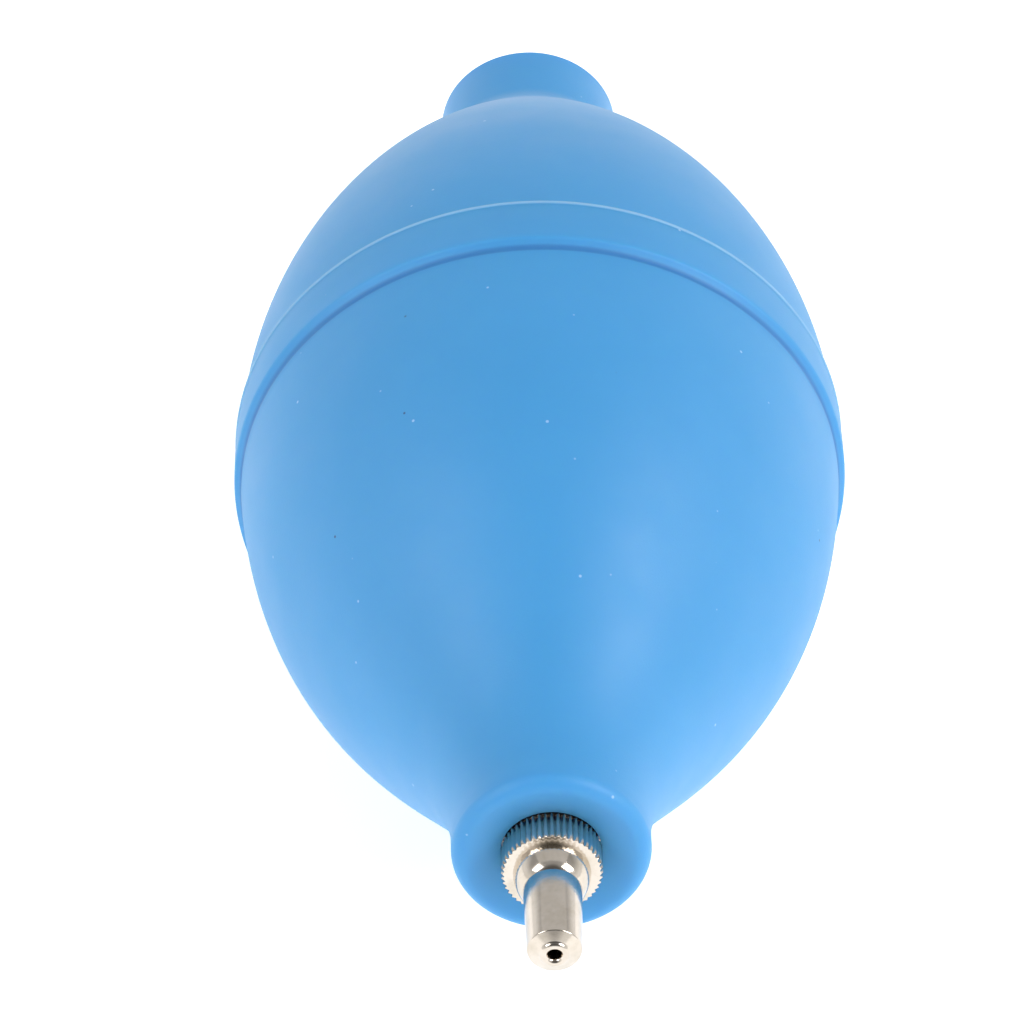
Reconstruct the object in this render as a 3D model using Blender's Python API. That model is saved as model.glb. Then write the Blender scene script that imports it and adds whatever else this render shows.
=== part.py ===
"""Squeeze bulb for filling pipettes: two bonded silicone half shells with a neck at each end,
a ball check valve pressed into the rear neck, and in the front neck a barbed metal socket
that holds a second ball check valve and the knurled nozzle that screws into it.

Every piece is turned about one axis. Lengths are in millimetres, and `along` is measured on
that axis from the bulb's equator, positive towards the nozzle. The bulb lies on its side.
"""

import math

import bmesh
import bpy
import numpy as np

MM = 0.001
FULL_TURN = 2 * math.pi
SHARP_EDGE = math.radians(35)

# Bulb shells. A dome's profile is one cubic curve, level at the equator and at the neck: its
# radius at the equator, its pull there, its pull at the neck, and where it meets the neck.
FRONT_RADIUS = 27.0
FRONT_DOME = (FRONT_RADIUS, 30.7, 14.0, 51.7)
REAR_RADIUS = 27.2
REAR_DOME = (REAR_RADIUS, 29.0, 6.0, 48.8)
WALL = 2.9
SHELL_SEGMENTS = 40
DOME_ROWS = 12

# Raised band of the front shell, which laps over a tongue of the rear shell
BAND_RADIUS = 27.5
BAND_REAR = -2.3
BAND_CREST_END = 3.4
BAND_FRONT = 4.2
BAND_EDGE = 0.25
LAP_END = 2.2
LAP_RADIUS = 25.75

# Necks: a rounded rim, a dished face, a seat for a fitting's flange, and the fitting's bore
NECK_RADIUS = 8.4
FRONT_NECK_END = 54.2
REAR_NECK_END = 55.2
FRONT_RIM = 1.2
REAR_RIM = 0.4
DISH_RADIUS = 6.6
DISH_DEPTH = 0.9
DISH_EDGE = 0.2
SEAT_DEPTH = 2.9
BORE_START = 44.0
BORE_LEAD_IN = 0.5
FRONT_SEAT, FRONT_BORE = 4.4, 4.0
REAR_SEAT, REAR_BORE = 5.3, 4.8

# Clearances
FIT_GAP = 0.25
FACE_GAP = 0.15
CHAMFER = 0.12

# Barbed fittings
BARB_COUNT = 3
BARB_HEIGHT = 0.3
BARB_SLOPE_SHARE = 0.8
BARB_LEAD = 0.4
PLAIN_UNDER_FLANGE = 1.5
PIECE_SEGMENTS = 24

# Nozzle thread, rounded and right-handed
THREAD_PITCH = 1.0
THREAD_MINOR = 1.95
THREAD_DEPTH = 0.5
THREAD_CLEARANCE = 0.2
THREAD_ROWS_PER_PITCH = 5
THREAD_LENGTH = 4.5
THREAD_RELIEF = 1.0

# Nozzle
COLLAR_BASE = 53.15
COLLAR_FACE = 56.2
COLLAR_RADIUS = 4.25
COLLAR_EDGE = 0.2
KNURL_TEETH = 48
KNURL_DEPTH = 0.28
HUB_RADIUS = 3.3
HUB_RISE = 1.2
HUB_LENGTH = 2.2
HUB_STEPS = 5
TUBE_BASE_RADIUS = 2.48
TUBE_TIP_RADIUS = 2.28
TIP_SET_BACK = 0.68
TIP_EDGE = 0.12
NOSE_RADIUS = 1.3
NOSE_RISE = 0.3
NOSE_ROUND = 0.2
TIP = 66.4
ORIFICE_RADIUS = 0.6
ORIFICE_CHAMFER = 0.2
ORIFICE_LENGTH = 1.8
NOZZLE_BORE = 1.6
STEM_BORE = 1.25
STEM_OVERLAP = 0.8

# Ball check valves: a 45 degree cone that narrows to a port, and a chamber for the ball
BALL_RADIUS = 1.5
BALL_COLUMNS, BALL_ROWS = 16, 8
BALL_GAP = 0.2
PORT_RADIUS = 0.9
CHAMBER_RADIUS = 2.05

# Outlet valve, in the front socket
SOCKET_FACE = 52.25
SOCKET_INNER_END = 38.6
OUTLET_PORT_END = 39.8
SPRING_STOP = 46.2
SPRING_STOP_THICKNESS = 0.6
SPRING_STOP_BORE = 0.8
SPRING_WIRE = 0.14
SPRING_COIL_RADIUS = 1.15
SPRING_TURNS = 5
SPRING_POINTS_PER_TURN = 14
DEAD_COIL = 2.5 * SPRING_WIRE

# Inlet valve, in the rear neck, as distances behind the equator
INLET_FACE = 54.5
INLET_INNER_END = 41.0
INLET_PORT_END = 46.0
MOUTH_RADIUS = 2.9
MOUTH_DEPTH = 1.3
MOUTH_COUNTERSINK = 0.6
CAGE_FROM = 41.7
CAGE_THICKNESS = 0.5
CAGE_HOLES = [(1.15, 0.42, 4)]
GAUZE_THICKNESS = 0.3
GAUZE_HOLES = [(0.0, 0.3, 1), (0.9, 0.3, 6), (1.8, 0.3, 10)]
GAUZE_RING_THICKNESS = 0.5
GAUZE_RING_BORE = 2.15
HOLE_CORNERS = 10


def material(name, colour, roughness, metallic=0.0):
    """A Principled material."""
    made = bpy.data.materials.new(name)
    made.use_nodes = True
    shader = made.node_tree.nodes["Principled BSDF"]
    shader.inputs["Base Color"].default_value = (*colour, 1.0)
    shader.inputs["Roughness"].default_value = roughness
    shader.inputs["Metallic"].default_value = metallic
    return made


def linked(name, data, holder):
    """An object on the bulb's axis."""
    made = bpy.data.objects.new(name, data)
    bpy.context.scene.collection.objects.link(made)
    made.parent = holder
    return made


def smooth_piece(name, mesh, finish, holder):
    """The bmesh as a smooth-shaded object on the bulb's axis."""
    data = bpy.data.meshes.new(name)
    mesh.to_mesh(data)
    mesh.free()
    data.shade_smooth()
    data.set_sharp_from_angle(angle=SHARP_EDGE)
    data.materials.append(finish)
    return linked(name, data, holder)


def arc(centre, radius, start, end, steps):
    """Points (along, radius) on an arc; angles in degrees from the +along direction."""
    angles = [math.radians(start + (end - start) * i / steps) for i in range(steps + 1)]
    return [(centre[0] + radius * math.cos(a), centre[1] + radius * math.sin(a)) for a in angles]


def dome(shape, start, inset, rows):
    """Points (along, radius) on a dome's profile from `start` to the neck, set in by `inset`."""
    equator_radius, pull, neck_pull, reach = shape
    drop = equator_radius - NECK_RADIUS
    along = np.poly1d([
        3 * pull + 3 * neck_pull - 2 * reach, 3 * reach - 6 * pull - 3 * neck_pull, 3 * pull, 0,
    ])
    radius = np.poly1d([2 * drop, -3 * drop, 0, equator_radius])
    shares = np.linspace(0, 1, 200)
    first = np.interp(start, along(shares), shares)
    points = []
    for share in np.linspace(first, 1, rows + 1):
        forward, outward = along.deriv()(share), radius.deriv()(share)
        scale = inset / math.hypot(forward, outward)
        points.append((along(share) + outward * scale, radius(share) - forward * scale))
    return points


def facing_rear(outline):
    """The outline seen from the other end, for a piece behind the equator."""
    return [(-along, radius) for along, radius in outline]


def turned(name, outline, segments, finish, holder, reshape=None):
    """A solid of revolution from a closed outline of (along, radius) points.

    reshape(along, radius, column) gives a point its radius, where the piece isn't round.
    """
    mesh = bmesh.new()
    ring = [mesh.verts.new((radius * MM, 0, along * MM)) for along, radius in outline]
    edges = [mesh.edges.new((ring[i - 1], ring[i])) for i in range(len(ring))]
    bmesh.ops.spin(
        mesh, geom=ring + edges, cent=(0, 0, 0), axis=(0, 0, 1),
        angle=FULL_TURN, steps=segments, use_merge=True,
    )
    if reshape:
        for vertex in mesh.verts:
            x, y, z = vertex.co
            radius = math.hypot(x, y)
            column = round(math.atan2(y, x) / FULL_TURN * segments) % segments
            scale = reshape(z / MM, radius / MM, column) * MM / radius
            vertex.co = (x * scale, y * scale, z)
    bmesh.ops.recalc_face_normals(mesh, faces=mesh.faces)
    return smooth_piece(name, mesh, finish, holder)


def neck_end(end, rim_round, seat, bore):
    """Outline of a neck's end: rounded rim, dished face, seat for a flange, and bore."""
    rim = arc((end - rim_round, NECK_RADIUS - rim_round), rim_round, 90, 0, 4)
    return rim + [
        (end, DISH_RADIUS),
        (end - DISH_DEPTH, seat + DISH_EDGE),
        (end - DISH_DEPTH - DISH_EDGE, seat),
        (end - SEAT_DEPTH, seat),
        (end - SEAT_DEPTH, bore),
        (BORE_START + BORE_LEAD_IN, bore),
    ]


def half_outline(seam, shape, outer_start, inner_stop, end):
    """Closed outline of a half shell: seam, outer wall, the neck's end, and the inner wall."""
    outer = dome(shape, outer_start, 0.0, DOME_ROWS)
    inner = dome(shape, max(inner_stop, 0.0), WALL, DOME_ROWS)
    inner = [point for point in inner if point[0] < BORE_START]
    if inner_stop < 0:
        inner.insert(0, (inner_stop, shape[0] - WALL))
    return seam + outer + end + inner[::-1]


def front_half_shell(silicone, holder):
    """Front half: its thickened rim is the band, which laps over the rear half."""
    band = [
        (LAP_END, LAP_RADIUS),
        (BAND_REAR, LAP_RADIUS),
        (BAND_REAR, BAND_RADIUS - BAND_EDGE),
        (BAND_REAR + BAND_EDGE, BAND_RADIUS),
        (BAND_CREST_END, BAND_RADIUS),
        (BAND_FRONT - BAND_EDGE, BAND_RADIUS - BAND_EDGE),
    ]
    end = neck_end(FRONT_NECK_END, FRONT_RIM, FRONT_SEAT, FRONT_BORE)
    outline = half_outline(band, FRONT_DOME, BAND_FRONT, LAP_END, end)
    made = turned("front_half_shell", outline, SHELL_SEGMENTS, silicone, holder)
    for vertex in made.data.vertices:
        # the soft band has a narrow flat where it rests, one segment to each side
        vertex.co.y = max(vertex.co.y, -rest_height() * MM)
    return made


def rest_height():
    """Height of the bulb's axis above the table."""
    return BAND_RADIUS * math.cos(FULL_TURN / SHELL_SEGMENTS)


def rear_half_shell(silicone, holder):
    """Rear half: a tongue half as thick as the wall runs under the front half's band."""
    tongue_end = FIT_GAP - LAP_END
    shoulder = FIT_GAP - BAND_REAR
    tongue = [(tongue_end, LAP_RADIUS - FIT_GAP), (shoulder, LAP_RADIUS - FIT_GAP)]
    end = neck_end(REAR_NECK_END, REAR_RIM, REAR_SEAT, REAR_BORE)
    outline = half_outline(tongue, REAR_DOME, shoulder, tongue_end, end)
    return turned("rear_half_shell", facing_rear(outline), SHELL_SEGMENTS, silicone, holder)


def barbs(inner_end, neck_end_at, seat, bore):
    """Saw-tooth outside of a pressed-in fitting, from its inner end to its flange."""
    flange_at = neck_end_at - SEAT_DEPTH + FIT_GAP
    tip = bore - FIT_GAP
    root = tip - BARB_HEIGHT
    pitch = (flange_at - inner_end - PLAIN_UNDER_FLANGE) / BARB_COUNT
    points = [(inner_end, root - BARB_LEAD)]
    for n in range(BARB_COUNT):
        start = inner_end + BARB_LEAD + n * pitch
        crest = start + pitch * BARB_SLOPE_SHARE
        points += [(start, root), (crest, tip), (crest + CHAMFER, root)]
    return points + [(flange_at, root), (flange_at, seat - FIT_GAP)]


def thread_rows(start, end):
    """Distances along at which a thread has a row of points."""
    count = round(abs(end - start) * THREAD_ROWS_PER_PITCH / THREAD_PITCH)
    return [start + (end - start) * i / count for i in range(count + 1)]


def threaded(start, end, low, high, clearance):
    """A reshape that cuts the thread into the points between start and end, low and high."""

    def radius_at(along, radius, column):
        if not (start - CHAMFER < along < end + CHAMFER and low < radius < high):
            return radius
        phase = along / THREAD_PITCH - column / PIECE_SEGMENTS
        height = THREAD_DEPTH * (0.5 + 0.5 * math.cos(FULL_TURN * phase))
        return THREAD_MINOR + clearance + height

    return radius_at


def outlet_socket(nickel, holder):
    """Barbed insert with the nozzle's thread in front and a conical ball seat behind it."""
    flange = FRONT_SEAT - FIT_GAP
    top = THREAD_MINOR + THREAD_DEPTH + THREAD_CLEARANCE
    thread_start = SOCKET_FACE - 2 * BARB_LEAD
    thread_end = thread_start - THREAD_LENGTH + BARB_LEAD
    outline = barbs(SOCKET_INNER_END, FRONT_NECK_END, FRONT_SEAT, FRONT_BORE)
    outline += [(SOCKET_FACE, flange), (SOCKET_FACE, top + FIT_GAP)]
    outline += [(along, top) for along in thread_rows(thread_start, thread_end)]
    outline += [
        (thread_end - BARB_LEAD, CHAMBER_RADIUS),
        (OUTLET_PORT_END + CHAMBER_RADIUS - PORT_RADIUS, CHAMBER_RADIUS),
        (OUTLET_PORT_END, PORT_RADIUS),
        (SOCKET_INNER_END, PORT_RADIUS),
    ]
    cut = threaded(thread_end, thread_start, top - CHAMFER, top + CHAMFER, THREAD_CLEARANCE)
    turned("outlet_socket", outline, PIECE_SEGMENTS, nickel, holder, cut)


def threaded_stem(nickel, holder):
    """The nozzle's stem, with a relief groove under the collar."""
    stem_end = COLLAR_BASE - THREAD_LENGTH - 2 * BARB_LEAD
    thread_start, thread_end = stem_end + BARB_LEAD, COLLAR_BASE - THREAD_RELIEF - BARB_LEAD
    top = THREAD_MINOR + THREAD_DEPTH
    outline = [(stem_end, STEM_BORE), (stem_end, THREAD_MINOR - CHAMFER)]
    outline += [(along, top) for along in thread_rows(thread_start, thread_end)]
    outline += [
        (COLLAR_BASE - THREAD_RELIEF, THREAD_MINOR - CHAMFER / 2),
        (COLLAR_BASE + STEM_OVERLAP, THREAD_MINOR - CHAMFER / 2),
        (COLLAR_BASE + STEM_OVERLAP, STEM_BORE),
    ]
    cut = threaded(thread_start, thread_end, top - CHAMFER, top + CHAMFER, 0.0)
    return turned("threaded_stem", outline, PIECE_SEGMENTS, nickel, holder, cut)


def hub():
    """Points on the elliptical dome from the collar's face to the tube's root."""
    root = math.asin(1 - (HUB_RADIUS - TUBE_BASE_RADIUS) / HUB_RISE)
    angles = np.linspace(math.pi / 2, root, HUB_STEPS)
    centre = HUB_RADIUS - HUB_RISE
    return [
        (COLLAR_FACE + HUB_LENGTH * math.cos(a), centre + HUB_RISE * math.sin(a)) for a in angles
    ]


def nozzle(nickel, holder):
    """Tapered tube with a conical tip, a domed hub and a knurled collar, joined to its stem."""
    land = COLLAR_RADIUS - KNURL_DEPTH - COLLAR_EDGE / 4
    outline = [
        (COLLAR_BASE, NOZZLE_BORE),
        (COLLAR_BASE, land),
        (COLLAR_BASE + COLLAR_EDGE, COLLAR_RADIUS),
        (COLLAR_FACE - COLLAR_EDGE, COLLAR_RADIUS),
        (COLLAR_FACE, land),
    ]
    outline += hub()
    outline += [
        (TIP - TIP_SET_BACK - TIP_EDGE, TUBE_TIP_RADIUS),
        (TIP - TIP_SET_BACK, TUBE_TIP_RADIUS - TIP_EDGE),
        (TIP - NOSE_RISE, NOSE_RADIUS),
        (TIP - NOSE_ROUND, NOSE_RADIUS),
        (TIP, NOSE_RADIUS - NOSE_ROUND),
        (TIP, ORIFICE_RADIUS + ORIFICE_CHAMFER),
        (TIP - ORIFICE_CHAMFER, ORIFICE_RADIUS),
        (TIP - ORIFICE_LENGTH, ORIFICE_RADIUS),
        (TIP - ORIFICE_LENGTH - NOZZLE_BORE + ORIFICE_RADIUS, NOZZLE_BORE),
    ]

    def knurled(along, radius, column):
        outermost = radius > COLLAR_RADIUS - COLLAR_EDGE / 2
        return radius - KNURL_DEPTH if outermost and column % 2 else radius

    made = turned("nozzle", outline, 2 * KNURL_TEETH, nickel, holder, knurled)
    stem = threaded_stem(nickel, holder)
    stem.hide_render = True
    stem.display_type = "WIRE"
    union = made.modifiers.new("stem", "BOOLEAN")
    union.operation = "UNION"
    union.object = stem


def ring(name, start, end, inner, outer, finish, holder):
    """A flat ring with chamfered outer edges."""
    outline = [
        (start, inner), (start, outer - CHAMFER), (start + CHAMFER, outer),
        (end - CHAMFER, outer), (end, outer - CHAMFER), (end, inner),
    ]
    turned(name, outline, PIECE_SEGMENTS, finish, holder)


def ball(name, along, finish, holder):
    """A valve ball, its origin at its centre on the axis."""
    mesh = bmesh.new()
    bmesh.ops.create_uvsphere(
        mesh, u_segments=BALL_COLUMNS, v_segments=BALL_ROWS, radius=BALL_RADIUS * MM
    )
    made = smooth_piece(name, mesh, finish, holder)
    made.location = (0, 0, along * MM)


def seated_ball_offset():
    """How far from the port's end a ball's centre sits, on a 45 degree cone."""
    return BALL_RADIUS * math.sqrt(2) - PORT_RADIUS + BALL_GAP


def coil_spring(name, start, end, finish, holder):
    """A compression spring: a swept helix whose first and last coils lie nearly flat."""
    curve = bpy.data.curves.new(name, "CURVE")
    curve.dimensions = "3D"
    curve.bevel_depth = SPRING_WIRE * MM
    curve.bevel_resolution = 1
    curve.use_fill_caps = True
    line = curve.splines.new("POLY")
    line.points.add(SPRING_TURNS * SPRING_POINTS_PER_TURN)
    live_rise = end - start - 2 * SPRING_WIRE - 2 * DEAD_COIL
    live_turns = SPRING_TURNS - 2
    for n, point in enumerate(line.points):
        turn = n / SPRING_POINTS_PER_TURN
        live = min(max(turn - 1, 0), live_turns)
        dead = turn - live
        rise = SPRING_WIRE + dead * DEAD_COIL + live / live_turns * live_rise
        across = SPRING_COIL_RADIUS * math.cos(FULL_TURN * turn)
        up = SPRING_COIL_RADIUS * math.sin(FULL_TURN * turn)
        point.co = (across * MM, up * MM, (start + rise) * MM, 1.0)
    curve.materials.append(finish)
    linked(name, curve, holder)


def perforated_disc(name, along, thickness, radius, holes, finish, holder):
    """A thin disc with rings of round holes, each (distance from the axis, hole radius, count)."""
    curve = bpy.data.curves.new(name, "CURVE")
    curve.dimensions = "2D"
    curve.fill_mode = "BOTH"
    curve.extrude = thickness / 2 * MM
    circles = [(0.0, 0.0, radius, PIECE_SEGMENTS)]
    for distance, hole_radius, count in holes:
        for n in range(count):
            angle = FULL_TURN * n / count
            centre = (distance * math.cos(angle), distance * math.sin(angle))
            circles.append((*centre, hole_radius, HOLE_CORNERS))
    for across, up, circle_radius, corners in circles:
        line = curve.splines.new("POLY")
        line.points.add(corners - 1)
        line.use_cyclic_u = True
        for n, point in enumerate(line.points):
            angle = FULL_TURN * n / corners
            x = across + circle_radius * math.cos(angle)
            y = up + circle_radius * math.sin(angle)
            point.co = (x * MM, y * MM, 0, 1)
    curve.materials.append(finish)
    made = linked(name, curve, holder)
    made.location = (0, 0, (along + thickness / 2) * MM)


def outlet_valve(rubber, steel, holder):
    """Ball, spring and spring stop inside the front socket; the ball lifts towards the nozzle."""
    centre = OUTLET_PORT_END + seated_ball_offset()
    ball("outlet_ball", centre, rubber, holder)
    coil_on_ball = math.sqrt(BALL_RADIUS**2 - (SPRING_COIL_RADIUS - SPRING_WIRE) ** 2)
    coil_spring(
        "outlet_spring", centre + coil_on_ball + FACE_GAP, SPRING_STOP - FACE_GAP, steel, holder
    )
    ring(
        "spring_stop", SPRING_STOP, SPRING_STOP + SPRING_STOP_THICKNESS,
        SPRING_STOP_BORE, CHAMBER_RADIUS - FACE_GAP, steel, holder,
    )


def nozzle_washer(rubber, holder):
    """Seals the collar against the socket's face."""
    ring(
        "nozzle_washer", SOCKET_FACE + FACE_GAP, COLLAR_BASE - FACE_GAP,
        THREAD_MINOR + THREAD_DEPTH + FACE_GAP, FRONT_SEAT - 2 * FIT_GAP, rubber, holder,
    )


def inlet_valve(nickel, rubber, steel, holder):
    """Valve in the rear neck: air enters through the gauze and lifts the ball inwards."""
    flange = REAR_SEAT - FIT_GAP
    mouth_floor = INLET_FACE - MOUTH_DEPTH
    body = barbs(INLET_INNER_END, REAR_NECK_END, REAR_SEAT, REAR_BORE) + [
        (INLET_FACE - BAND_EDGE, flange),
        (INLET_FACE, flange - BAND_EDGE),
        (INLET_FACE, MOUTH_RADIUS),
        (mouth_floor, MOUTH_RADIUS),
        (mouth_floor, PORT_RADIUS + MOUTH_COUNTERSINK),
        (mouth_floor - MOUTH_COUNTERSINK, PORT_RADIUS),
        (INLET_PORT_END, PORT_RADIUS),
        (INLET_PORT_END - CHAMBER_RADIUS + PORT_RADIUS, CHAMBER_RADIUS),
        (INLET_INNER_END, CHAMBER_RADIUS),
    ]
    turned("inlet_valve_body", facing_rear(body), PIECE_SEGMENTS, nickel, holder)
    ball("inlet_ball", seated_ball_offset() - INLET_PORT_END, rubber, holder)
    perforated_disc(
        "inlet_ball_cage", -CAGE_FROM - CAGE_THICKNESS, CAGE_THICKNESS,
        CHAMBER_RADIUS - FACE_GAP, CAGE_HOLES, steel, holder,
    )
    gauze_end = mouth_floor + FACE_GAP + GAUZE_THICKNESS
    perforated_disc(
        "inlet_gauze", -gauze_end, GAUZE_THICKNESS, MOUTH_RADIUS - FACE_GAP, GAUZE_HOLES, steel, holder
    )
    ring_end = gauze_end + FACE_GAP + GAUZE_RING_THICKNESS
    ring(
        "gauze_ring", -ring_end, GAUZE_RING_THICKNESS - ring_end,
        GAUZE_RING_BORE, MOUTH_RADIUS - FACE_GAP, nickel, holder,
    )


def clear_scene():
    for old in list(bpy.data.objects):
        bpy.data.objects.remove(old)


def bulb_axis():
    """An empty at the bulb's equator: its local +Z points to the nozzle, which is the world's -Y."""
    holder = bpy.data.objects.new("bulb_axis", None)
    bpy.context.scene.collection.objects.link(holder)
    equator_y = (TIP - REAR_NECK_END) / 2
    holder.location = (0, equator_y * MM, rest_height() * MM)
    holder.rotation_euler = (math.pi / 2, 0, 0)
    return holder


def main():
    clear_scene()
    silicone = material("blue_silicone", (0.08, 0.36, 0.72), 0.5)
    nickel = material("nickel_plate", (0.72, 0.66, 0.58), 0.15, 1.0)
    steel = material("stainless_steel", (0.6, 0.6, 0.6), 0.3, 1.0)
    rubber = material("nitrile_rubber", (0.03, 0.03, 0.03), 0.6)
    holder = bulb_axis()
    front_half_shell(silicone, holder)
    rear_half_shell(silicone, holder)
    outlet_socket(nickel, holder)
    outlet_valve(rubber, steel, holder)
    nozzle_washer(rubber, holder)
    nozzle(nickel, holder)
    inlet_valve(nickel, rubber, steel, holder)


main()
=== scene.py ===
"""Looks for the squeeze bulb: smooth silicone half shells, a polished knurled nozzle with its
thread, a finer rear fitting, materials for the pieces inside, a white studio and the camera.

Places are in metres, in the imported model's frame. Profiles are in millimetres, as points
(along, radius): `along` is measured on the bulb's axis from its equator.
"""

import math

import bmesh
import bpy
import numpy as np
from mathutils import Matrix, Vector


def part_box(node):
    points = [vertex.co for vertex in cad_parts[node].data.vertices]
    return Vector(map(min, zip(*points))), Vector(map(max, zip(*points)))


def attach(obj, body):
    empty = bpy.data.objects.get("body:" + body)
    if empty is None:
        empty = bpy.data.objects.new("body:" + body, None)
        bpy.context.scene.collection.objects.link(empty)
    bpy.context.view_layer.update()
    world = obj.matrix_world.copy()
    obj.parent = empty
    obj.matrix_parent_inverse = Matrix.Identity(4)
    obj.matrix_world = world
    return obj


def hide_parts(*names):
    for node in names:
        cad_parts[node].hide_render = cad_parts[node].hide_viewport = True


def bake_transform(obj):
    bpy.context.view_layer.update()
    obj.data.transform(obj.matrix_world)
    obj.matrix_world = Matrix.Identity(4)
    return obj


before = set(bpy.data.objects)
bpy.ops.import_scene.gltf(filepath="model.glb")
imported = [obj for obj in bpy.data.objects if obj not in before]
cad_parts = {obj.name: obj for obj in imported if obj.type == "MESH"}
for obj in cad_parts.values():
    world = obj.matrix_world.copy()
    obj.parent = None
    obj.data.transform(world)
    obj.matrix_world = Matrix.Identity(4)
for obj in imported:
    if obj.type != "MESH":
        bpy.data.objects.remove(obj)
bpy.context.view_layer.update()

MM = 0.001
FULL_TURN = 2 * math.pi
SHARP_EDGE = math.radians(40)

# The frame's own places: the bulb's axis is level and runs along Y, with the nozzle at -Y
FRONT_LOW, FRONT_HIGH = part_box("front_half_shell")
_, REAR_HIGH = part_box("rear_half_shell")
NOZZLE_LOW, NOZZLE_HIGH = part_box("nozzle")
BAND_REAR = 2.3
BAND_FRONT = 4.2
EQUATOR_Y = FRONT_HIGH.y - BAND_REAR * MM
AXIS_Z = (NOZZLE_LOW.z + NOZZLE_HIGH.z) / 2
FLOOR_Z = FRONT_LOW.z
FRONT_NECK_END = (EQUATOR_Y - FRONT_LOW.y) / MM
REAR_NECK_END = (REAR_HIGH.y - EQUATOR_Y) / MM
TIP = (EQUATOR_Y - NOZZLE_LOW.y) / MM
BAND_RADIUS = (FRONT_HIGH.x - FRONT_LOW.x) / 2 / MM

# Bulb profile, in millimetres, measured along the axis from the bulb's equator. A dome is one
# cubic curve, level at the equator and at the neck: its radius at the equator, its pull there,
# its pull at the neck, and where it meets the neck.
FRONT_DOME = (26.98, 30.7, 14.0, 51.7)
REAR_DOME = (27.14, 29.0, 6.0, 48.8)
WALL = 2.9
LAP_DEPTH = 1.2
LAP_RADIUS = 25.75
NECK_RADIUS = 8.4
FRONT_RIM, REAR_RIM = 1.2, 0.4
FACE_SLOPE = 8
FACE_DEPTH = 0.9
SEAT_DEPTH = 2.9
FRONT_SEAT, FRONT_BORE = 4.2, 4.0
REAR_SEAT, REAR_BORE = 5.3, 4.8
BORE_START = 44.0
BORE_LEAD_IN = 0.5
SHELL_SEGMENTS = 256
DOME_ROWS, WALL_ROWS = 56, 20
SEAM_GAP = 0.03

# Moulding flash on the band's rear corner, as (along from the corner, radius beyond the band)
FLASH = [(0.0, -0.3), (0.05, -0.08), (0.1, -0.01), (0.17, 0.0), (0.25, -0.04), (0.36, -0.13), (0.7, -0.12)]

# Band's crest, as (along, radius beyond the band), and the rounded step in front of it
CREST = [(-0.6, -0.05), (0.8, -0.01), (2.6, -0.01)]
STEP_AT, STEP_DROP, STEP_ROUND = 3.05, 0.51, 0.5

# Groove at the foot of the step, as (along from the band's front, radius beyond the dome)
FOOT = [(-0.5, 0.04), (-0.32, -0.12), (-0.1, -0.17), (0.15, -0.16)]
FOOT_END = 0.5

# Painted highlight as a paler stripe on the flash, and painted shade as a darker stripe in the groove:
# where each is, and half its width
LIP_HIGHLIGHT_AT, LIP_HIGHLIGHT_HALF = 0.17, 0.22
GROOVE_SHADE_AT, GROOVE_SHADE_HALF = 0.15, 0.4

# Nozzle, in millimetres
COLLAR_BASE = 53.15
COLLAR_FACE = 56.2
COLLAR_RADIUS = 4.25
KNURL_TEETH = 48
KNURL_DEPTH = 0.26
COLUMNS_PER_TOOTH = 6
HUB_RADIUS = 3.3
HUB_RISE = 1.2
HUB_LENGTH = 2.2
HUB_BASE_ANGLE = 76
TUBE_BASE_RADIUS = 2.48
TUBE_TIP_RADIUS = 2.28
TIP_SET_BACK = 0.68
TIP_ROUND = 0.14
NOSE_RADIUS = 1.3
NOSE_RISE = 0.3
NOSE_ROUND = 0.35
ORIFICE_RADIUS = 0.55
ORIFICE_LENGTH = 1.8
ORIFICE_CONE = 0.5
NOZZLE_BORE = 1.6
STEM_END = 47.85
STEM_BORE = 1.25
STEM_RELIEF = 1.0
THREAD_PITCH = 1.0
THREAD_MINOR = 1.95
THREAD_DEPTH = 0.5
THREAD_ROWS_PER_PITCH = 12

# Rear fitting, in millimetres: barbed insert, woven gauze and the ring that holds it
INSERT_BORE = 2.05
PORT_RADIUS = 0.9
PORT_END = 46.0
PORT_COUNTERSINK = 0.6
INSERT_ROOT, INSERT_TIP = 4.25, 4.55
BARB_LEAD = 0.4
BARB_COUNT, BARB_PITCH = 3, 3.35
BARB_SLOPE_SHARE = 0.8
BARB_UNDERCUT = 0.12
FLANGE_ROUND = 0.3
FLANGE_AT = 52.55
MOUTH_RADIUS = 2.9
MOUTH_DEPTH = 1.3
MOUTH_EDGE = 0.12
RING_BORE = 2.15
RING_ROUND = 0.12
FITTING_SEGMENTS = 128
WIRE_RADIUS = 0.06
WIRE_WAVE = 0.07
WIRE_PITCH = 0.42
WIRE_POINTS_PER_PITCH = 12

# Camera: how far it looks down, how far it is turned, its distance from the equator and its lens
CAMERA_ELEVATION = 37.7
CAMERA_AZIMUTH = -0.9
CAMERA_DISTANCE = 0.5429
CAMERA_LENS = 211.0
CAMERA_SENSOR = 36.0
AIM_RIGHT = -0.00245
AIM_UP = -0.00429

# Studio: the sky fades from white at the horizon to SKY_TOP overhead, and it is darker in front,
# within ROOM_EDGE to ROOM_CORE (cosines) of ROOM_DIRECTION. A softbox has its name, place, size
# and power in watts.
HORIZON, OVERHEAD = 0.05, 0.6
SKY_TOP = 0.38
ROOM_DIRECTION = (0.0, -0.74, 0.67)
ROOM_EDGE, ROOM_CORE = 0.75, 0.96
ROOM_BRIGHTNESS = 0.3
FLOOR_GLOW = 0.6
FLOOR_RADIUS = 6.0
SOFTBOXES = [
    ("left_softbox", (-0.6, -0.3, 0.62), (0.4, 0.4), 2.8),
    ("right_softbox", (0.65, -0.3, 0.62), (0.45, 0.45), 5.0),
    ("back_softbox", (0.0, 0.45, 0.95), (1.7, 1.1), 1.5),
]


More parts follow.
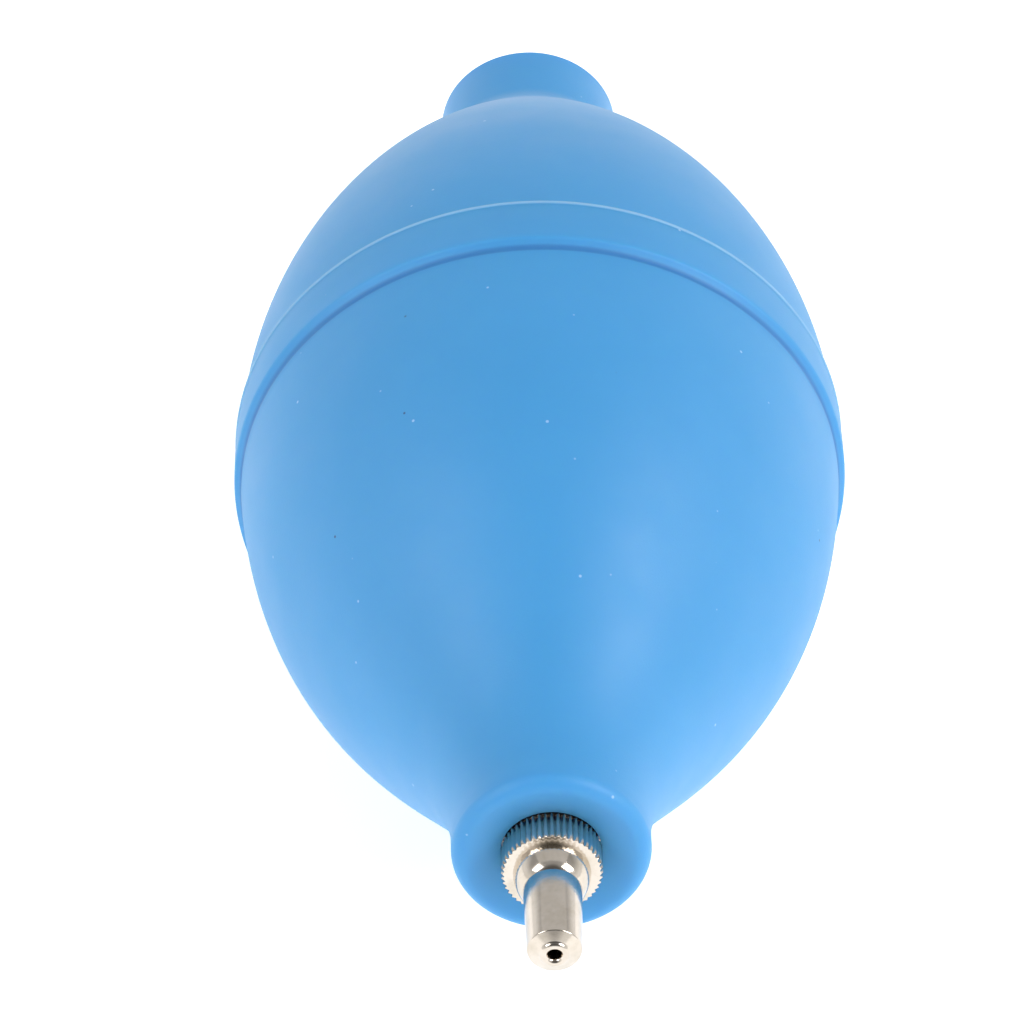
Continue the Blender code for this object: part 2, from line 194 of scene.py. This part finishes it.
def arc(centre, radius, start, end, steps):
    """Points (along, radius) on an arc; angles in degrees from the +along direction."""
    angles = [math.radians(start + (end - start) * i / steps) for i in range(steps + 1)]
    return [(centre[0] + radius * math.cos(a), centre[1] + radius * math.sin(a)) for a in angles]


def dome(shape, start, inset, steps):
    """Points (along, radius) on a dome's profile from `start` to the neck, set in by `inset`."""
    equator_radius, pull, neck_pull, reach = shape
    drop = equator_radius - NECK_RADIUS
    along = np.poly1d([
        3 * pull + 3 * neck_pull - 2 * reach, 3 * reach - 6 * pull - 3 * neck_pull, 3 * pull, 0,
    ])
    radius = np.poly1d([2 * drop, -3 * drop, 0, equator_radius])
    shares = np.linspace(0, 1, 400)
    first = np.interp(start, along(shares), shares)
    points = []
    for share in np.linspace(first, 1, steps + 1):
        slope = (along.deriv()(share), radius.deriv()(share))
        scale = inset / math.hypot(*slope)
        points.append((along(share) + slope[1] * scale, radius(share) - slope[0] * scale))
    return points


def turned(name, outline, segments, finish, rear=False, reshape=None):
    """A solid of revolution about the bulb's axis, from a closed outline of (along, radius) mm."""
    mesh = bmesh.new()
    flip = -1 if rear else 1
    rings = []
    for column in range(segments):
        angle = FULL_TURN * column / segments
        ring = []
        for along, radius in outline:
            if reshape:
                along, radius = reshape(along, radius, column)
            across = radius * MM * math.cos(angle)
            up = radius * MM * math.sin(angle)
            ring.append(mesh.verts.new((across, EQUATOR_Y - flip * along * MM, AXIS_Z + up)))
        rings.append(ring)
    for column in range(segments):
        here, there = rings[column], rings[(column + 1) % segments]
        for n in range(len(outline)):
            mesh.faces.new((here[n - 1], here[n], there[n], there[n - 1]))
    bmesh.ops.recalc_face_normals(mesh, faces=mesh.faces)
    data = bpy.data.meshes.new(name)
    mesh.to_mesh(data)
    mesh.free()
    data.shade_smooth()
    data.set_sharp_from_angle(angle=SHARP_EDGE)
    data.materials.append(finish)
    made = bpy.data.objects.new(name, data)
    bpy.context.scene.collection.objects.link(made)
    return made


RANGE_KEYS = ("From Min", "From Max", "To Min", "To Max")


class Nodes:
    """Shorthand for building one material's node tree."""

    def __init__(self, name):
        self.material = bpy.data.materials.new(name)
        self.material.use_nodes = True
        self.tree = self.material.node_tree
        self.shader = self.tree.nodes["Principled BSDF"]

    def add(self, kind, **settings):
        node = self.tree.nodes.new(kind)
        for key, value in settings.items():
            if key in node.inputs:
                node.inputs[key].default_value = value
            else:
                setattr(node, key, value)
        return node

    def link(self, output, target):
        self.tree.links.new(output, target)

    def place(self):
        """The surface's own coordinates, in metres."""
        return self.add("ShaderNodeTexCoord").outputs["Object"]

    def noise(self, scale, detail=2.0, roughness=0.5):
        node = self.add("ShaderNodeTexNoise", Scale=scale, Detail=detail, Roughness=roughness)
        self.link(self.place(), node.inputs["Vector"])
        return node.outputs["Fac"]

    def ramp(self, value, low, high, start, end):
        """value remapped from low..high to start..end, clamped."""
        node = self.add("ShaderNodeMapRange")
        self.link(value, node.inputs["Value"])
        for key, number in zip(RANGE_KEYS, (low, high, start, end)):
            node.inputs[key].default_value = number
        return node.outputs["Result"]

    def mix(self, factor, first, second):
        """A colour mix; first and second are colours or outputs."""
        node = self.add("ShaderNodeMix", data_type="RGBA")
        self.link(factor, node.inputs["Factor"])
        for key, value in (("A", first), ("B", second)):
            socket = next(s for s in node.inputs if s.name == key and s.type == "RGBA")
            if isinstance(value, tuple):
                socket.default_value = (*value, 1.0)
            else:
                self.link(value, socket)
        return next(s for s in node.outputs if s.type == "RGBA")

    def specks(self, scale, size, share):
        """Mask of sparse round specks: 1 inside a speck. share is the part of cells that has one."""
        cells = self.add("ShaderNodeTexVoronoi", Scale=scale)
        self.link(self.place(), cells.inputs["Vector"])
        near = self.ramp(cells.outputs["Distance"], size, size * 0.6, 0.0, 1.0)
        chosen = self.add("ShaderNodeSeparateColor")
        self.link(cells.outputs["Color"], chosen.inputs["Color"])
        picked = self.ramp(chosen.outputs["Red"], share, share * 0.98, 0.0, 1.0)
        both = self.add("ShaderNodeMath", operation="MULTIPLY")
        self.link(near, both.inputs[0])
        self.link(picked, both.inputs[1])
        return both.outputs["Value"]

    def band_of_y(self, middle, half_width):
        """Mask of a band round the bulb: 1 at y = middle, 0 from half_width away."""
        split = self.add("ShaderNodeSeparateXYZ")
        self.link(self.place(), split.inputs["Vector"])
        shifted = self.add("ShaderNodeMath", operation="SUBTRACT")
        self.link(split.outputs["Y"], shifted.inputs[0])
        shifted.inputs[1].default_value = middle
        distance = self.add("ShaderNodeMath", operation="ABSOLUTE")
        self.link(shifted.outputs["Value"], distance.inputs[0])
        return self.ramp(distance.outputs["Value"], half_width, half_width / 2, 0.0, 1.0)

    def bump(self, height, strength, distance, under=None):
        node = self.add("ShaderNodeBump", Strength=strength, Distance=distance)
        self.link(height, node.inputs["Height"])
        if under:
            self.link(under, node.inputs["Normal"])
        return node.outputs["Normal"]


def silicone():
    """Matte blue silicone, a little translucent, with a fine moulded skin, a few specks of dust, a painted
    highlight along the flash line and painted shade in the groove.
    """
    nodes = Nodes("blue_silicone_skin")
    shader = nodes.shader
    shader.inputs["IOR"].default_value = 1.42
    shader.inputs["Specular IOR Level"].default_value = 0.9
    shader.inputs["Subsurface Weight"].default_value = 0.45
    shader.inputs["Subsurface Radius"].default_value = (0.25, 0.6, 1.0)
    shader.inputs["Subsurface Scale"].default_value = 0.003
    shader.inputs["Sheen Weight"].default_value = 0.16
    shader.inputs["Sheen Roughness"].default_value = 0.45
    shader.inputs["Sheen Tint"].default_value = (0.85, 0.88, 1.0, 1.0)
    clouds = nodes.ramp(nodes.noise(45.0, 3.0), 0.35, 0.65, 0.0, 1.0)
    body = nodes.mix(clouds, (0.034, 0.295, 0.635), (0.041, 0.31, 0.66))
    # painted highlight: a paler blue stripe along the flash line at the band's rear edge
    lip_highlight_mask = nodes.band_of_y(FRONT_HIGH.y - LIP_HIGHLIGHT_AT * MM, LIP_HIGHLIGHT_HALF * MM)
    lip_highlighted = nodes.mix(lip_highlight_mask, body, (0.2, 0.4, 0.7))
    # painted shade: a darker blue stripe in the groove at the foot of the step
    groove_shade_mask = nodes.band_of_y(EQUATOR_Y - (BAND_FRONT - GROOVE_SHADE_AT) * MM, GROOVE_SHADE_HALF * MM)
    groove_shaded = nodes.mix(groove_shade_mask, lip_highlighted, (0.018, 0.2, 0.52))
    light_specks = nodes.specks(420.0, 0.07, 0.3)
    dusted = nodes.mix(light_specks, groove_shaded, (0.3, 0.52, 0.8))
    dark_specks = nodes.specks(330.0, 0.055, 0.1)
    colour = nodes.mix(dark_specks, dusted, (0.015, 0.07, 0.2))
    nodes.link(colour, shader.inputs["Base Color"])
    nodes.link(nodes.ramp(nodes.noise(160.0, 4.0), 0.3, 0.7, 0.5, 0.6), shader.inputs["Roughness"])
    skin = nodes.bump(nodes.noise(5200.0, 3.0, 0.6), 0.35, 0.00004)
    waves = nodes.bump(nodes.noise(60.0, 2.0), 0.25, 0.0004, skin)
    nodes.link(waves, shader.inputs["Normal"])
    return nodes.material


def nickel():
    """Polished warm nickel plate, faintly tarnished and a little uneven."""
    nodes = Nodes("polished_nickel")
    shader = nodes.shader
    shader.inputs["Metallic"].default_value = 1.0
    tarnish = nodes.ramp(nodes.noise(500.0, 4.0, 0.6), 0.4, 0.75, 0.0, 1.0)
    nodes.link(nodes.mix(tarnish, (0.7, 0.635, 0.56), (0.58, 0.52, 0.43)), shader.inputs["Base Color"])
    nodes.link(nodes.ramp(nodes.noise(900.0, 5.0, 0.6), 0.3, 0.8, 0.1, 0.2), shader.inputs["Roughness"])
    nodes.link(nodes.bump(nodes.noise(2500.0, 4.0), 0.15, 0.00003), shader.inputs["Normal"])
    return nodes.material


def stainless():
    """Drawn stainless steel with a fine grain and a dull bloom."""
    nodes = Nodes("drawn_stainless")
    shader = nodes.shader
    shader.inputs["Metallic"].default_value = 1.0
    bloom = nodes.ramp(nodes.noise(800.0, 4.0, 0.6), 0.35, 0.7, 0.0, 1.0)
    nodes.link(nodes.mix(bloom, (0.62, 0.61, 0.59), (0.47, 0.46, 0.44)), shader.inputs["Base Color"])
    nodes.link(nodes.ramp(nodes.noise(1500.0, 5.0, 0.7), 0.3, 0.7, 0.24, 0.42), shader.inputs["Roughness"])
    nodes.link(nodes.bump(nodes.noise(6000.0, 4.0), 0.25, 0.00002), shader.inputs["Normal"])
    return nodes.material


def nitrile():
    """Black nitrile rubber with a satin skin and traces of talc."""
    nodes = Nodes("black_nitrile")
    shader = nodes.shader
    talc = nodes.ramp(nodes.noise(1200.0, 5.0, 0.65), 0.55, 0.8, 0.0, 1.0)
    nodes.link(nodes.mix(talc, (0.018, 0.018, 0.019), (0.07, 0.07, 0.072)), shader.inputs["Base Color"])
    nodes.link(nodes.ramp(nodes.noise(900.0, 3.0), 0.3, 0.7, 0.45, 0.65), shader.inputs["Roughness"])
    nodes.link(nodes.bump(nodes.noise(7000.0, 3.0, 0.6), 0.3, 0.00003), shader.inputs["Normal"])
    return nodes.material


def front_shell(finish):
    """Front half of the bulb: dome, band with its flash line and soft front step, and neck."""
    outside = FRONT_DOME[0]
    seam = [
        (LAP_DEPTH - BAND_REAR, outside - WALL),
        (LAP_DEPTH - BAND_REAR, LAP_RADIUS),
        (-BAND_REAR, LAP_RADIUS),
    ]
    flash = [(along - BAND_REAR, BAND_RADIUS + rise) for along, rise in FLASH]
    crest = [(along, BAND_RADIUS + rise) for along, rise in CREST]
    step = arc((STEP_AT, BAND_RADIUS - STEP_DROP), STEP_ROUND, 84, 30, 6)
    foot = [(BAND_FRONT + along, outside + rise) for along, rise in FOOT]
    outline = seam + flash + crest + step + foot
    outline += dome(FRONT_DOME, BAND_FRONT + FOOT_END, 0.0, DOME_ROWS)
    outline += neck_end(FRONT_NECK_END, FRONT_RIM, FRONT_SEAT, FRONT_BORE)
    outline += inner_wall(FRONT_DOME, LAP_DEPTH + 1)
    made = turned("front_bulb_half", outline, SHELL_SEGMENTS, finish)
    for vertex in made.data.vertices:
        # the band has a narrow flat where the bulb rests on it
        vertex.co.z = max(vertex.co.z, FLOOR_Z)
    return made


def rear_shell(finish):
    """Rear half of the bulb: dome, neck and dished neck end."""
    seam_at = BAND_REAR + SEAM_GAP
    outline = [(seam_at, REAR_DOME[0] - WALL)] + dome(REAR_DOME, seam_at, 0.0, DOME_ROWS)
    outline += neck_end(REAR_NECK_END, REAR_RIM, REAR_SEAT, REAR_BORE)
    outline += inner_wall(REAR_DOME, seam_at + 1)
    return turned("rear_bulb_half", outline, SHELL_SEGMENTS, finish, rear=True)


def inner_wall(shape, start):
    """Inside of a dome, from the neck's bore back to `start`."""
    wall = dome(shape, start, WALL, WALL_ROWS)
    return [point for point in wall[::-1] if point[0] < BORE_START - BORE_LEAD_IN]


def neck_end(end, rim_round, seat, bore):
    """Broad rounded rim that falls in a smooth hollow to the seat and bore of a fitting."""
    rim = arc((end - rim_round, NECK_RADIUS - rim_round), rim_round, 90, -FACE_SLOPE, 14)
    start = rim[-1]
    hollow = []
    for share in np.linspace(0.12, 1, 9):
        radius = start[1] + (seat + 0.14 - start[1]) * share
        hollow.append((start[0] + (end - FACE_DEPTH - start[0]) * share ** 1.25, radius))
    return rim + hollow + [
        (end - FACE_DEPTH - 0.04, seat + 0.05),
        (end - FACE_DEPTH - 0.16, seat),
        (end - SEAT_DEPTH, seat),
        (end - SEAT_DEPTH, bore),
        (BORE_START + BORE_LEAD_IN, bore),
    ]


def nozzle_piece(finish):
    """Threaded stem, knurled collar, domed hub and tapered tube with a small nose at its tip."""
    chamfer = KNURL_DEPTH + 0.05
    columns = KNURL_TEETH * COLUMNS_PER_TOOTH
    thread_top = THREAD_MINOR + THREAD_DEPTH
    thread_end = COLLAR_BASE - STEM_RELIEF
    rows = round((thread_end - STEM_END) * THREAD_ROWS_PER_PITCH / THREAD_PITCH)
    stem = [(STEM_END, STEM_BORE), (STEM_END, THREAD_MINOR - 0.2)]
    stem += [(along, thread_top) for along in np.linspace(STEM_END + 0.25, thread_end - 0.25, rows)]
    stem += [(thread_end, THREAD_MINOR - 0.05)]
    collar = [
        (COLLAR_BASE, THREAD_MINOR - 0.05),
        (COLLAR_BASE, COLLAR_RADIUS - chamfer),
        (COLLAR_BASE + 0.2, COLLAR_RADIUS),
        (COLLAR_FACE - 0.14, COLLAR_RADIUS),
        (COLLAR_FACE - 0.02, COLLAR_RADIUS - 0.12),
        (COLLAR_FACE, COLLAR_RADIUS - chamfer),
    ]
    centre = HUB_RADIUS - HUB_RISE
    root = math.asin((TUBE_BASE_RADIUS - centre) / HUB_RISE)
    base = math.radians(HUB_BASE_ANGLE)
    stretch = HUB_LENGTH / (math.cos(root) - math.cos(base))
    hub = [
        (COLLAR_FACE + stretch * (math.cos(a) - math.cos(base)), centre + HUB_RISE * math.sin(a))
        for a in np.linspace(base, root, 14)
    ]
    nose_base = TIP - NOSE_RISE
    tip = arc((TIP - TIP_SET_BACK - TIP_ROUND, TUBE_TIP_RADIUS - TIP_ROUND), TIP_ROUND, 90, 25, 6)
    nose = [
        (nose_base - 0.02, NOSE_RADIUS + 0.1),
        (nose_base + 0.02, NOSE_RADIUS + 0.02),
    ] + arc((TIP - NOSE_ROUND, NOSE_RADIUS - NOSE_ROUND), NOSE_ROUND, 60, 0, 6)
    hole = [
        (TIP, ORIFICE_RADIUS + 0.26),
        (TIP - 0.03, ORIFICE_RADIUS + 0.2),
        (TIP - 0.18, ORIFICE_RADIUS + 0.02),
        (TIP - 0.26, ORIFICE_RADIUS),
        (TIP - ORIFICE_LENGTH, ORIFICE_RADIUS),
        (TIP - ORIFICE_LENGTH - ORIFICE_CONE, NOZZLE_BORE),
    ]

    def knurled(along, radius, column):
        if radius == thread_top:
            phase = along / THREAD_PITCH - column / columns
            height = THREAD_DEPTH * (0.5 + 0.5 * math.cos(FULL_TURN * phase))
            return along, THREAD_MINOR + height
        if radius < COLLAR_RADIUS - chamfer + 0.05:
            return along, radius
        share = (column % COLUMNS_PER_TOOTH) / COLUMNS_PER_TOOTH
        depth = KNURL_DEPTH * (1 - abs(2 * share - 1)) * (radius - COLLAR_RADIUS + chamfer) / chamfer
        return along, radius - depth

    outline = stem + collar + hub + tip + nose + hole
    return turned("nozzle_metal", outline, columns, finish, reshape=knurled)


def rear_insert(finish):
    """Barbed insert in the rear neck: flange with a rounded edge, mouth, port and ball chamber."""
    low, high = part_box("inlet_valve_body")
    face = (high.y - EQUATOR_Y) / MM
    inner_end = (low.y - EQUATOR_Y) / MM
    flange = (high.x - low.x) / 2 / MM
    outline = [(inner_end, INSERT_BORE), (inner_end, INSERT_ROOT - BARB_LEAD)]
    for n in range(BARB_COUNT):
        start = inner_end + BARB_LEAD + n * BARB_PITCH
        crest = start + BARB_PITCH * BARB_SLOPE_SHARE
        outline += [(start, INSERT_ROOT), (crest, INSERT_TIP), (crest + BARB_UNDERCUT, INSERT_ROOT)]
    outline += [(FLANGE_AT, INSERT_ROOT), (FLANGE_AT, flange)]
    outline += arc((face - FLANGE_ROUND, flange - FLANGE_ROUND), FLANGE_ROUND, 90, 0, 8)
    outline += [
        (face, MOUTH_RADIUS + MOUTH_EDGE),
        (face - MOUTH_EDGE, MOUTH_RADIUS),
        (face - MOUTH_DEPTH, MOUTH_RADIUS),
        (face - MOUTH_DEPTH, PORT_RADIUS + PORT_COUNTERSINK),
        (face - MOUTH_DEPTH - PORT_COUNTERSINK, PORT_RADIUS),
        (PORT_END, PORT_RADIUS),
        (PORT_END - INSERT_BORE + PORT_RADIUS, INSERT_BORE),
    ]
    return turned("rear_insert", outline, FITTING_SEGMENTS, finish, rear=True)


def rear_ring(finish):
    """Rounded ring that holds the gauze in the mouth of the insert."""
    low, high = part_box("gauze_ring")
    start, end = (low.y - EQUATOR_Y) / MM, (high.y - EQUATOR_Y) / MM
    outer = (high.x - low.x) / 2 / MM
    near, far = start + RING_ROUND, end - RING_ROUND
    low_edge, high_edge = RING_BORE + RING_ROUND, outer - RING_ROUND
    outline = arc((near, low_edge), RING_ROUND, 270, 180, 4)
    outline += arc((near, high_edge), RING_ROUND, 180, 90, 4)
    outline += arc((far, high_edge), RING_ROUND, 90, 0, 4)
    outline += arc((far, low_edge), RING_ROUND, 0, -90, 4)
    return turned("rear_gauze_ring", outline, FITTING_SEGMENTS, finish, rear=True)


def rear_gauze(finish):
    """Plain-woven wire cloth, cut round."""
    low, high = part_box("inlet_gauze")
    middle = (low.y + high.y) / 2
    radius = (high.x - low.x) / 2 / MM - WIRE_RADIUS
    curve = bpy.data.curves.new("rear_gauze", "CURVE")
    curve.dimensions = "3D"
    curve.bevel_depth = WIRE_RADIUS * MM
    curve.bevel_resolution = 2
    curve.use_fill_caps = True
    reach = int(radius / WIRE_PITCH)
    for row in range(-reach, reach + 1):
        offset = row * WIRE_PITCH
        half = math.sqrt(radius ** 2 - offset ** 2)
        count = max(4, round(half / WIRE_PITCH * WIRE_POINTS_PER_PITCH))
        places = np.linspace(-half, half, count)
        for side in (1, -1):
            wire = curve.splines.new("POLY")
            wire.points.add(len(places) - 1)
            for place, point in zip(places, wire.points):
                wave = side * WIRE_WAVE * (-1) ** row * math.cos(math.pi * place / WIRE_PITCH)
                across, up = (place, offset) if side == 1 else (offset, place)
                point.co = (across * MM, middle + wave * MM, AXIS_Z + up * MM, 1.0)
    curve.materials.append(finish)
    made = bpy.data.objects.new("rear_gauze", curve)
    bpy.context.scene.collection.objects.link(made)
    return made


def camera():
    """The camera, with its aim a little off the bulb's equator as the picture is framed."""
    azimuth, elevation = math.radians(CAMERA_AZIMUTH), math.radians(CAMERA_ELEVATION)
    back = Vector((
        math.sin(azimuth) * math.cos(elevation),
        -math.cos(azimuth) * math.cos(elevation),
        math.sin(elevation),
    ))
    turn = (-back).to_track_quat("-Z", "Y")
    aim = Vector((0, EQUATOR_Y, AXIS_Z)) + turn @ Vector((AIM_RIGHT, AIM_UP, 0))
    data = bpy.data.cameras.new("camera")
    data.lens = CAMERA_LENS
    data.sensor_width = CAMERA_SENSOR
    made = bpy.data.objects.new("camera", data)
    bpy.context.scene.collection.objects.link(made)
    made.location = aim + back * CAMERA_DISTANCE
    made.rotation_mode = "QUATERNION"
    made.rotation_quaternion = turn
    bpy.context.scene.camera = made


def softbox(name, place, target, size, power):
    """A rectangular softbox aimed at a point."""
    data = bpy.data.lights.new(name, "AREA")
    data.shape = "RECTANGLE"
    data.size, data.size_y = size
    data.energy = power
    made = bpy.data.objects.new(name, data)
    bpy.context.scene.collection.objects.link(made)
    made.location = place
    made.rotation_mode = "QUATERNION"
    made.rotation_quaternion = (Vector(target) - Vector(place)).to_track_quat("-Z", "Y")


def sky():
    """A sky that is white at the horizon, grey overhead and darker in front."""
    world = bpy.data.worlds.new("studio")
    world.use_nodes = True
    tree = world.node_tree
    direction = tree.nodes.new("ShaderNodeTexCoord")
    split = tree.nodes.new("ShaderNodeSeparateXYZ")
    level = tree.nodes.new("ShaderNodeMapRange")
    level.interpolation_type = "SMOOTHSTEP"
    for key, value in zip(RANGE_KEYS, (HORIZON, OVERHEAD, 1.0, SKY_TOP)):
        level.inputs[key].default_value = value
    tree.links.new(direction.outputs["Generated"], split.inputs["Vector"])
    tree.links.new(split.outputs["Z"], level.inputs["Value"])
    tree.links.new(level.outputs["Result"], tree.nodes["Background"].inputs["Color"])
    towards_room = tree.nodes.new("ShaderNodeVectorMath")
    towards_room.operation = "DOT_PRODUCT"
    towards_room.inputs[1].default_value = ROOM_DIRECTION
    tree.links.new(direction.outputs["Generated"], towards_room.inputs[0])
    darkness = tree.nodes.new("ShaderNodeMapRange")
    darkness.interpolation_type = "SMOOTHSTEP"
    for key, value in zip(RANGE_KEYS, (ROOM_EDGE, ROOM_CORE, 1.0, ROOM_BRIGHTNESS)):
        darkness.inputs[key].default_value = value
    tree.links.new(towards_room.outputs["Value"], darkness.inputs["Value"])
    tree.links.new(darkness.outputs["Result"], tree.nodes["Background"].inputs["Strength"])
    bpy.context.scene.world = world


def floor():
    """A round white floor that glows a little, at the height the bulb rests on."""
    nodes = Nodes("floor_white")
    nodes.shader.inputs["Roughness"].default_value = 0.8
    nodes.shader.inputs["Emission Color"].default_value = (1.0, 1.0, 1.0, 1.0)
    nodes.shader.inputs["Emission Strength"].default_value = FLOOR_GLOW
    nodes.link(
        nodes.mix(nodes.noise(8.0), (0.8, 0.8, 0.8), (0.82, 0.82, 0.82)),
        nodes.shader.inputs["Base Color"],
    )
    mesh = bmesh.new()
    bmesh.ops.create_circle(mesh, cap_ends=True, segments=96, radius=FLOOR_RADIUS)
    data = bpy.data.meshes.new("floor")
    mesh.to_mesh(data)
    mesh.free()
    data.materials.append(nodes.material)
    made = bpy.data.objects.new("floor", data)
    made.location.z = FLOOR_Z
    bpy.context.scene.collection.objects.link(made)


def studio():
    """Sky, floor, and softboxes aimed at the bulb's middle."""
    bpy.context.scene.view_settings.view_transform = "Standard"
    sky()
    floor()
    middle = (0, EQUATOR_Y, AXIS_Z)
    for name, place, size, power in SOFTBOXES:
        softbox(name, place, middle, size, power)


def bulb(skin):
    """The two half shells; the front one is attached to the bulb's body."""
    front = front_shell(skin)
    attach(front, "bulb")
    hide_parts("front_half_shell")
    rear = rear_shell(skin)
    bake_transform(rear)
    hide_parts("rear_half_shell")


def fittings(plate, steel):
    """The nozzle and the rear fitting's visible pieces."""
    metal = nozzle_piece(plate)
    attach(metal, "nozzle")
    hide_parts("nozzle")
    for make, finish, node, slot in (
        (rear_insert, plate, "inlet_valve_body", "nickel_plate"),
        (rear_ring, plate, "gauze_ring", "nickel_plate"),
        (rear_gauze, steel, "inlet_gauze", "stainless_steel"),
    ):
        piece = make(finish)
        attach(piece, "rear_fitting")
        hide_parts(node)


def inside(plate, steel):
    """Finishes for the CAD pieces that keep their own shape."""
    rubber = nitrile()
    for finish, kept in (
        (plate, ("outlet_socket",)),
        (steel, ("outlet_spring", "spring_stop", "inlet_ball_cage")),
        (rubber, ("outlet_ball", "nozzle_washer", "inlet_ball")),
    ):
        for node in kept:
            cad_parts[node].material_slots[0].material = finish


def main():
    plate = nickel()
    steel = stainless()
    bulb(silicone())
    fittings(plate, steel)
    inside(plate, steel)
    studio()
    camera()


main()
